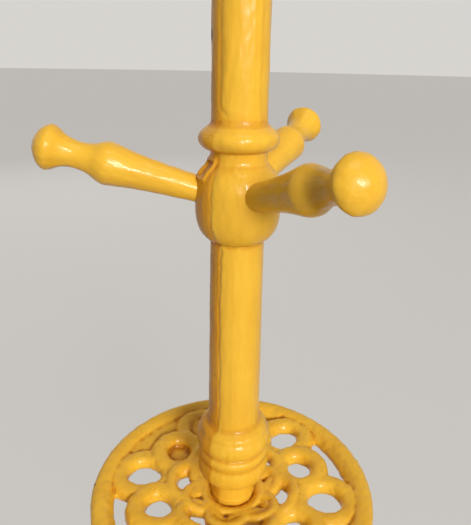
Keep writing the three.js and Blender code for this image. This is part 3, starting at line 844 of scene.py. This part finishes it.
class RACK_OT_disc(RackOperator, Operator):
    """Pierced rosette casting: overlapping ring petals inside a rolled rim, joined and softened"""
    bl_idname = "rack.disc"
    bl_label = "Rosette Disc"

    def execute(self, context):
        low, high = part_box("rosette_disc")
        rim = rim_plane()
        back = rim - self.sizes.disc_back
        parts = [self.rim(high.x, rim, back), self.boss(rim - self.sizes.boss_drop, low.z),
                 self.web(high.x, back)]
        rng = np.random.default_rng(5)
        for *size, crest, tilt, sink, half in PETAL_ROWS:
            for i in range(ROSETTE_FOLD):
                degrees = ROSETTE_TURN + (i + half) * 360 / ROSETTE_FOLD + rng.normal(0, 0.5)
                parts.append(self.petal(
                    np.array(size) * MM, rim + crest * MM, back,
                    math.tan(math.radians(tilt)), sink * MM, math.radians(degrees), rng))
        piece = self.joined(new_piece("rosette_raw", parts))
        nick = (np.array([-high.x, -6 * MM, rim]), np.array([4, 2, 3]) * MM)
        weather(piece, coordinates(piece.data), 3, 0.2 * MM, [nick])
        dress(piece, "rosette_disc", self.iron_enamel("casting_enamel"))
        return {"FINISHED"}

    def joined(self, raw):
        """One skin round all forms: a voxel remesh, smoothing as thick paint would, and a cast
        surface of two ripples along the normals."""
        remesh = raw.modifiers.new("join", "REMESH")
        remesh.mode = "VOXEL"
        remesh.voxel_size = self.sizes.voxel
        smooth = raw.modifiers.new("paint", "SMOOTH")
        smooth.factor = 0.5
        smooth.iterations = 3
        joined = raw.evaluated_get(bpy.context.evaluated_depsgraph_get())
        mesh = bpy.data.meshes.new_from_object(joined)
        bpy.data.objects.remove(raw)
        points = coordinates(mesh)
        cast = 0.2 * MM * ripple(points, 9 * MM, 71) + 0.07 * MM * ripple(points, 4 * MM, 72)
        mesh.vertices.foreach_set("co", (points + directions(mesh) * cast[:, None]).ravel())
        return placed("rosette_casting", mesh)

    def petal(self, size, top, back, slope, sink, angle, rng):
        """Ring of two half ellipses round its own centre, its section a superellipse of power 2.7
        on the flat back; its crest rises outwards by the slope, over the row outside it."""
        out, outer, inner, width, tube = size
        t = circle(96)
        wobble = (1 + 0.02 * np.sin(2 * t + rng.uniform(0, 6))
                  + 0.015 * np.sin(3 * t + rng.uniform(0, 6)))
        reach = np.where(np.cos(t) > 0, outer, inner)
        x, y = out + reach * wobble * np.cos(t), width * wobble * np.sin(t)
        outward = np.column_stack([np.cos(t) * width, np.sin(t) * reach, 0 * t])
        outward /= np.linalg.norm(outward, axis=1)[:, None]
        crest = (top - back + slope * (x - out) - sink * np.maximum(-np.cos(t), 0)
                 + rng.normal(0, 0.25) * MM)
        a, power = np.linspace(0, np.pi, 28), 2 / 2.7
        side = np.sign(np.cos(a)) * np.abs(np.cos(a)) ** power
        side = np.concatenate([side, np.linspace(-1, 1, 8)[1:-1]])
        rise = np.concatenate([np.abs(np.sin(a)) ** power, np.zeros(6)])
        centre = np.column_stack([x, y, np.full_like(t, back)])
        upward = np.array([0, 0, 1.0])
        points = (centre[:, None, :] + tube * side[None, ::-1, None] * outward[:, None, :]
                  + crest[:, None, None] * rise[None, ::-1, None] * upward).reshape(-1, 3)
        turn = np.array(Matrix.Rotation(angle, 3, "Z"))
        return points @ turn.T, [grid_faces(len(t) + 1, len(side)) % len(points)]

    def rim(self, radius, plane, back, bevel=3 * MM):
        """Rolled rim: widest at the rim plane, its inner face sloping gently to the petals. Its
        inner points are shares of the width inwards and heights in bevels."""
        width, crest = self.sizes.rim_width, plane + self.sizes.rim_crest

        def inwards(height, *points):
            return np.array(points) * (-width, bevel) + (radius, height)

        return hoop(np.vstack([
            (radius - width, back), (radius - bevel, back), (radius - 0.2 * bevel, back + bevel),
            (radius, back + 2 * bevel), (radius, plane - 0.5 * bevel),
            (radius - 0.3 * bevel, plane), inwards(crest, (0.16, -0.3), (0.3, 0), (0.52, -0.1)),
            inwards(plane, (0.68, 0.5), (0.84, -0.6), (1, -2.1))]), 240)

    def boss(self, crest, back, bore=6.3 * MM):
        """Rounded ring whose inside slopes to the neck; the last step leaves a thin dark gap."""
        outer, gap = self.sizes.boss_radius, self.sizes.neck_radius + SEAT_GAP
        return hoop(np.vstack([
            (bore, back), offset(outer, back, (-2, 0), (0, 2)),
            offset(outer, crest, (0, -3.2), (-0.5, -1.3), (-1.6, -0.2), (-3.2, 0), (-5, -0.5),
                   (-7.5, -2.2)),
            offset(gap, crest, (1.2, -3.8), (0, -4.8), (0, -6)), (bore, crest - 6 * MM)]), 160)

    def web(self, radius, back):
        """Blind floor behind one stretch, thicker towards the rim: a bent bar with two ends."""
        t = np.radians(np.linspace(*WEB_DEGREES, 40))[:, None]
        outer = radius - self.sizes.rim_width / 2
        r = np.array([56 * MM, outer, outer, 94 * MM, 80 * MM, 56 * MM])
        z = back + np.array([0, 0, 10.5, 7.0, 3.6, 3.0]) * MM
        points = Skin(t, r, z + 0 * t).points.reshape(-1, 3)
        first = np.arange(len(r))
        return points, [grid_faces(len(t), len(r))[:, ::-1], first[None],
                        (len(points) - 1 - first)[None]]


class RACK_OT_base(RackOperator, Operator):
    """Domed base casting with raised rings and a rolled rim"""
    bl_idname = "rack.base"
    bl_label = "Base Casting"

    ring_centre = 112 * MM
    ring_radius = 36 * MM
    ring_half = 8.5 * MM
    ring_rise = 5.2 * MM

    def execute(self, context):
        low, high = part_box("base_casting")
        closed = evened(self.section(high.x, low.z, high.z), 2.2 * MM, 0.8 * MM)[:-1]
        t = circle(260)
        radii, angle = np.meshgrid(closed[:, 0], t, indexing="ij")
        heights = closed[:, 1:] + 0 * t
        skin = Skin(angle, radii, heights + self.rings(radii, heights, angle))
        points = skin.points.reshape(-1, 3)
        points[:, 2] += 0.12 * MM * ripple(points, 14 * MM, 61) * (points[:, 2] > low.z + 4 * MM)
        faces = grid_faces(len(closed) + 1, len(t)) % len(points)
        piece = new_piece("base_enamelled", [(points, [faces])])
        weather(piece, points, 3, 0.35 * MM)
        dress(piece, "base_casting", self.iron_enamel("base_enamel"))
        return {"FINISHED"}

    def dome(self, radius, drop=0.0):
        """Dome's height: half a cosine wave from the boss down to the valley inside the rim."""
        sizes = self.sizes
        low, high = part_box("base_casting")
        inner = high.x - sizes.base_rim
        share = np.clip((radius - sizes.base_boss) / (inner - sizes.base_boss), 0, 1)
        return low.z + sizes.base_wall - drop + sizes.base_rise * (1 + np.cos(np.pi * share)) / 2

    def section(self, radius, foot, top):
        """Closed outline: under the dome, round the rim, over the dome and into the seat."""
        sizes = self.sizes
        inner, middle = radius - sizes.base_rim, radius - sizes.base_rim / 2
        boss, bore, recess = sizes.base_boss, 6.4 * MM, sizes.neck_radius + SEAT_GAP
        over, under = np.linspace(inner - MM, boss + 3 * MM, 90), np.linspace(boss, inner, 60)
        curve = np.vstack([
            np.column_stack([under, self.dome(under, sizes.base_wall)]), (inner, foot),
            offset(radius, foot, (-2, 0), (-0.3, 2)),
            arc(middle, radius, foot + 5 * MM, 10 * MM, -12, 90, 30),
            arc(middle, inner + 2 * MM, foot + 6 * MM, 9 * MM, 90, 10, 24),
            np.column_stack([over, self.dome(over)]),
            offset(boss, top, (0, -3), (-1, -0.8), (-3, 0)),
            offset(recess, top, (0.5, 0), (0, -0.6), (0, -6)),
            offset(bore, top, (0, -6), (0, -16)), (boss, top - 16 * MM)])
        return np.vstack([curve, curve[:1]])

    def rings(self, radii, heights, angle):
        """Raised rings: lift = rise (1 - ((d - R) / w)^2)^0.6, with d the distance from a ring's
        centre, R its radius and w half its width."""
        lift = np.zeros_like(radii)
        for i in range(ROSETTE_FOLD):
            about = math.radians(ROSETTE_TURN + i * 360 / ROSETTE_FOLD)
            away = np.hypot(radii * np.cos(angle - about) - self.ring_centre,
                            radii * np.sin(angle - about))
            across = (away - self.ring_radius) / self.ring_half
            lift = np.maximum(lift, self.ring_rise * np.clip(1 - across ** 2, 0, 1) ** 0.6)
        return lift * step(heights - self.dome(radii), -2 * MM, -0.5 * MM)


class RACK_OT_pads(RackOperator, Operator):
    """Rubber pads with rounded edges under the base"""
    bl_idname = "rack.pads"
    bl_label = "Foot Pads"

    def execute(self, context):
        material = rubber("pad_rubber", self.finish)
        for i in (1, 2, 3):
            node = f"foot_pad_{i}"
            low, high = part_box(node)
            points, faces = turned(self.profile(low, high), 96, lambda skin: 0.0)
            points[:, :2] += ((low.x + high.x) / 2, (low.y + high.y) / 2)
            dress(new_piece(f"pad_{i}", [(points, faces)]), node, material)
        return {"FINISHED"}

    def profile(self, low, high):
        """A plain disc with a groove round its middle and rounded edges."""
        radius, groove = (high.x - low.x) / 2, (low.z + high.z) / 2
        return evened(np.vstack([
            (0, low.z), offset(radius, low.z, (-1.6, 0), (-0.5, 0.3), (0, 0.9)),
            offset(radius, groove, (0, -1.2), (-0.9, 0), (0, 1.2)),
            offset(radius, high.z, (0, -0.8), (-0.8, 0)), (0, high.z)]), 0.6 * MM)


class RACK_OT_fasteners(RackOperator, Operator):
    """Finishes of the bolt, washer, rods, screws and insert, which keep their CAD shapes"""
    bl_idname = "rack.fasteners"
    bl_label = "Fasteners"

    steel_nodes = ("base_bolt", "base_washer", "disc_rod", "low_hub_screw",
                   "middle_hub_screw", "top_hub_screw")

    def execute(self, context):
        steel = bare_metal("zinc_steel", self.finish.steel)
        for name in self.steel_nodes:
            self.assign(frame["nodes"][name], steel)
        brass = bare_metal("turned_brass", self.finish.brass)
        self.assign(frame["nodes"]["post_insert"], brass)
        return {"FINISHED"}

    def assign(self, node, material):
        """Puts the material in every slot of a CAD node."""
        if not node.material_slots:
            node.data.materials.append(material)
        for slot in node.material_slots:
            slot.material = material


class RACK_OT_stage(RackOperator, Operator):
    """Pale floor, soft lights and the camera"""
    bl_idname = "rack.stage"
    bl_label = "Studio Stage"

    # Round lamps: place and width in metres, power in watts, whether gloss shows them.
    lamps = {"key": ((1.08, -3.25, 2.0), 1.0, 80, True),
             "window": ((1.45, -2.9, 1.8), 1.5, 46, True),
             "top": ((0.5, -0.9, 4.2), 1.6, 18, True),
             "back": ((-1.2, 3.4, 2.2), 2.4, 58, False)}
    aim = Vector((0, 0, 0.7))
    air_strength = 0.23
    floor_drop = 0.2 * MM
    floor_glow, glow_share = 0.55, 1.25     # strength, and share of the air's colour
    camera_place = Vector((-0.9, -371.3, 372.7)) * MM   # from the axis and the rim plane
    camera_tilt, camera_roll = 21.74, 1.1

    def execute(self, context):
        self.floor()
        self.world()
        for name, lamp in self.lamps.items():
            self.light(name, *lamp)
        self.camera()
        bpy.context.scene.view_settings.view_transform = "Standard"
        return {"FINISHED"}

    def floor(self):
        """A round floor, wide enough to reach the horizon from any side; seen directly it also
        glows a little."""
        radii, t = np.array([0.5, 2, 8, 40]), circle(128)
        radius, angle = np.meshgrid(radii, t, indexing="ij")
        rings = Skin(angle, radius, 0 * radius - self.floor_drop).points.reshape(-1, 3)
        points = np.vstack([rings, [0, 0, -self.floor_drop]])
        j = np.arange(len(t))
        fan = np.column_stack([j, (j + 1) % len(t), j * 0 + len(rings)])
        faces = [grid_faces(len(radii), len(t))[:, ::-1], fan]
        floor = new_piece("studio_floor", [(points, faces)])
        paint = Paint(bpy.data.materials.new("floor_paper"))
        place = paint.place()
        paper, darker = rgba(self.finish.floor), rgba(self.finish.floor, 0.96)
        paint.base({"Base Color": paint.blend(paint.noise(place, 5) * 0.3, paper, darker),
                    "Roughness": 0.9, "Specular IOR Level": 0.1,
                    "Normal": paint.relief(paint.noise(place, 400), 0.1 * MM)})
        glow = paint.node("Emission", None, {"Color": rgba(self.finish.air, self.glow_share)})
        lit = Value(paint, paint.shader.outputs[0])
        paint.surface(paint.node("MixShader", None, {
            0: paint.directly_seen() * self.floor_glow, 1: lit, 2: glow}))
        floor.data.materials.append(paint.owner)

    def world(self):
        """Pale air behind the rack; what lights it is dimmer."""
        world = bpy.data.worlds.new("studio_air")
        bpy.context.scene.world = world
        paint = Paint(world)
        lit = paint.node("Background", None, {
            "Color": rgba(self.finish.daylight), "Strength": self.air_strength})
        seen = paint.node("Background", None, {"Color": rgba(self.finish.air)})
        paint.surface(paint.node("MixShader", None, {0: paint.directly_seen(), 1: lit, 2: seen}))

    def light(self, name, place, size, power, in_gloss):
        """A round lamp that looks at the middle of the rack."""
        lamp = bpy.data.lights.new(name, "AREA")
        lamp.shape = "DISK"
        lamp.size = size
        lamp.energy = power
        turn = (self.aim - Vector(place)).to_track_quat("-Z", "Y").to_matrix().to_4x4()
        holder = linked(name, lamp)
        holder.matrix_world = Matrix.Translation(place) @ turn
        holder.visible_glossy = in_gloss

    def camera(self):
        """Near the post, a little over the lowest hub, looking down on the disc with a roll."""
        camera = bpy.data.cameras.new("view")
        camera.sensor_width = 36.0
        camera.lens = 34.97
        camera.clip_start = 0.01
        place = self.camera_place + Vector((0, 0, rim_plane()))
        turn = (Matrix.Rotation(math.radians(90 - self.camera_tilt), 4, "X")
                @ Matrix.Rotation(math.radians(self.camera_roll), 4, "Z"))
        holder = linked("view", camera)
        holder.matrix_world = Matrix.Translation(place) @ turn
        bpy.context.scene.camera = holder


class RACK_PT_panel(Panel):
    """Lists the rack's pieces in the sidebar"""
    bl_label = "Coat Rack"
    bl_idname = "RACK_PT_panel"
    bl_space_type = "VIEW_3D"
    bl_region_type = "UI"
    bl_category = "Coat Rack"

    def draw(self, context):
        for operator in OPERATORS:
            self.layout.operator(operator.bl_idname, text=operator.bl_label)
        for group in (context.scene.rack_sizes, context.scene.rack_finish):
            box = self.layout.box()
            for key in group.__annotations__:
                box.prop(group, key)


OPERATORS = (RACK_OT_posts, RACK_OT_pegs, RACK_OT_disc, RACK_OT_base, RACK_OT_pads,
             RACK_OT_fasteners, RACK_OT_stage)
CLASSES = (RackSizes, RackFinish, *OPERATORS, RACK_PT_panel)


def register():
    for cls in CLASSES:
        bpy.utils.register_class(cls)
    bpy.types.Scene.rack_sizes = PointerProperty(type=RackSizes)
    bpy.types.Scene.rack_finish = PointerProperty(type=RackFinish)


def unregister():
    del bpy.types.Scene.rack_finish
    del bpy.types.Scene.rack_sizes
    for cls in reversed(CLASSES):
        bpy.utils.unregister_class(cls)


def main():
    """Builds every piece and the stage."""
    register()
    bpy.ops.rack.posts()
    bpy.ops.rack.pegs()
    bpy.ops.rack.disc()
    bpy.ops.rack.base()
    bpy.ops.rack.pads()
    bpy.ops.rack.fasteners()
    bpy.ops.rack.stage()


if __name__ == "__main__":
    main()
